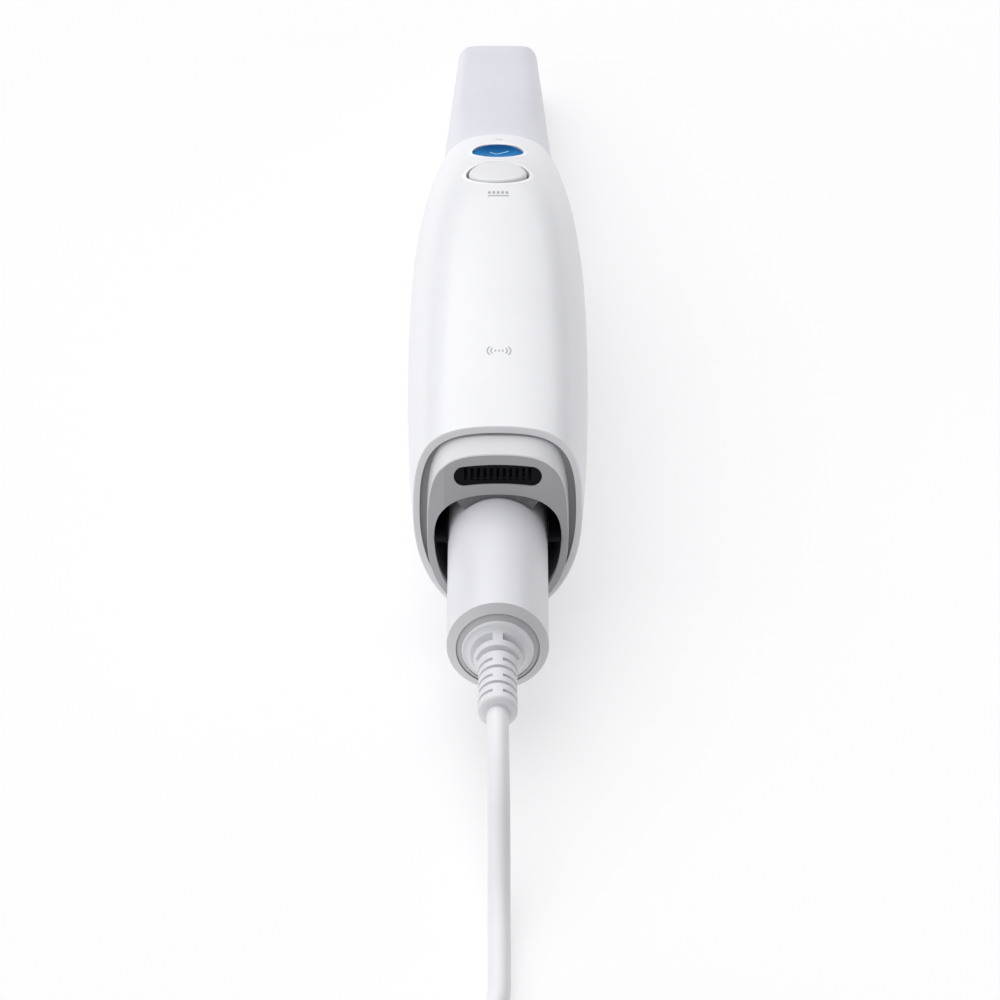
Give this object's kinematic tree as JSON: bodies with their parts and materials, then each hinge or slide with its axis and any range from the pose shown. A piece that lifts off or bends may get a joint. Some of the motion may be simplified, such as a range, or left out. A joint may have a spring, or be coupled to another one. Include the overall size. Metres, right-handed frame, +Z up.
{
  "type": "intraoral camera",
  "caption": "Hand-held intraoral 3-D camera lying on a table: white tapered body, pull-off scanning tip, blue and white push buttons, plug-in rear connector and coiled cable.",
  "frame": {"origin": "on the table, under the middle of the object without its cable", "axes": "+Y along the hand piece towards the scanning tip, +Z up through the buttons, +X to the right seen from the cable end"},
  "size_m": [0.0714, 0.4814, 0.0474],
  "materials": {
    "shell_white": "satin white",
    "tip_white": "smooth cool white",
    "trim_grey": "light grey satin",
    "gasket_grey": "dark grey elastomer",
    "cover_white": "satin white",
    "face_grey": "grey satin",
    "black_plastic": "black matt",
    "clip_metal": "dark spring steel",
    "contact_gold": "gold plated",
    "button_blue": "dished, gloss blue",
    "button_white": "satin white",
    "light_clear": "frosted light pipe",
    "inner_grey": "moulded dark grey",
    "board_green": "green circuit board",
    "chip_black": "moulded package",
    "steel": "bright",
    "sink_alu": "bead blasted",
    "optics_alu": "black anodised",
    "lens_glass": "coated",
    "sensor": "image sensor",
    "nose_white": "matt",
    "seal_rubber": "black",
    "mirror": "front silvered",
    "heater": "polyimide film",
    "relief_white": "white elastomer",
    "cable_white": "white jacket",
    "tie_grey": "woven strap",
    "plug_metal": "nickel"
  },
  "bodies": {
    "handpiece": {"upper_shell": "shell_white", "lower_shell": "shell_white", "status_light": "light_clear", "rear_trim_ring": "trim_grey", "rear_cover": "cover_white", "rear_gasket": "gasket_grey", "rear_face_plate": "face_grey", "vent_grille": "black_plastic", "connector_bay": "black_plastic", "bay_guide_rails": "black_plastic", "retaining_clip": "clip_metal", "bay_socket": "black_plastic", "socket_pins": "contact_gold", "air_duct": "inner_grey", "fan_housing": "black_plastic", "haptic_motor_case": "steel", "chassis": "inner_grey", "main_board": "board_green", "board_screws": "steel", "board_chips": "chip_black", "heat_sink": "sink_alu", "optics_block": "optics_alu", "camera_barrels": "optics_alu", "camera_lenses": "lens_glass", "image_sensors": "sensor", "projector_barrel": "optics_alu", "projector_lens": "lens_glass", "projector_light_engine": "sink_alu", "nose_sleeve": "nose_white", "nose_window": "lens_glass", "nose_seal": "seal_rubber", "control_bezel": "shell_white", "scan_bezel": "shell_white", "tact_switches": "chip_black", "button_board": "board_green"},
    "control_key": {"control_button": "button_blue", "control_plunger": "inner_grey"},
    "scan_key": {"scan_button": "button_white", "scan_plunger": "inner_grey"},
    "fan": {"fan_rotor": "black_plastic"},
    "haptic_rotor": {"haptic_weight": "steel"},
    "tip": {"tip_shell": "tip_white", "tip_mirror": "mirror", "mirror_heater": "heater", "mirror_rails": "tip_white"},
    "cable_connector": {"connector_shell": "cover_white", "connector_seal": "seal_rubber", "connector_end_cap": "trim_grey", "connector_insert": "black_plastic", "connector_contacts": "contact_gold", "connector_board": "board_green", "strain_relief": "relief_white", "cable_run": "cable_white", "cable_coil": "cable_white", "coil_tie": "tie_grey", "cable_tail": "cable_white", "plug_sleeve": "relief_white", "plug_housing": "cover_white", "plug_shell": "plug_metal", "plug_tongue": "black_plastic"}
  },
  "joints": [
    {"name": "tip_pull", "type": "slide", "parent": "handpiece", "child": "tip", "axis": [0, 1, 0], "range_m": [0, 0.05]},
    {"name": "scan_press", "type": "slide", "parent": "handpiece", "child": "scan_key", "axis": [0, -0.2147, -0.9767], "range_m": [0, 0.0005], "stiffness_N_per_m": 4000},
    {"name": "control_press", "type": "slide", "parent": "handpiece", "child": "control_key", "axis": [0, -0.2756, -0.9613], "range_m": [0, 0.0005], "stiffness_N_per_m": 4000},
    {"name": "connector_pull", "type": "slide", "parent": "handpiece", "child": "cable_connector", "axis": [0, -1, 0], "range_m": [0, 0.05]},
    {"name": "fan_spin", "type": "hinge", "parent": "handpiece", "child": "fan", "pos_m": [0, -0.039, 0.025], "axis": [0, 1, 0], "continuous": true},
    {"name": "haptic_spin", "type": "hinge", "parent": "handpiece", "child": "haptic_rotor", "pos_m": [0, -0.0478, 0.0432], "axis": [0, 0, 1], "continuous": true}
  ]
}
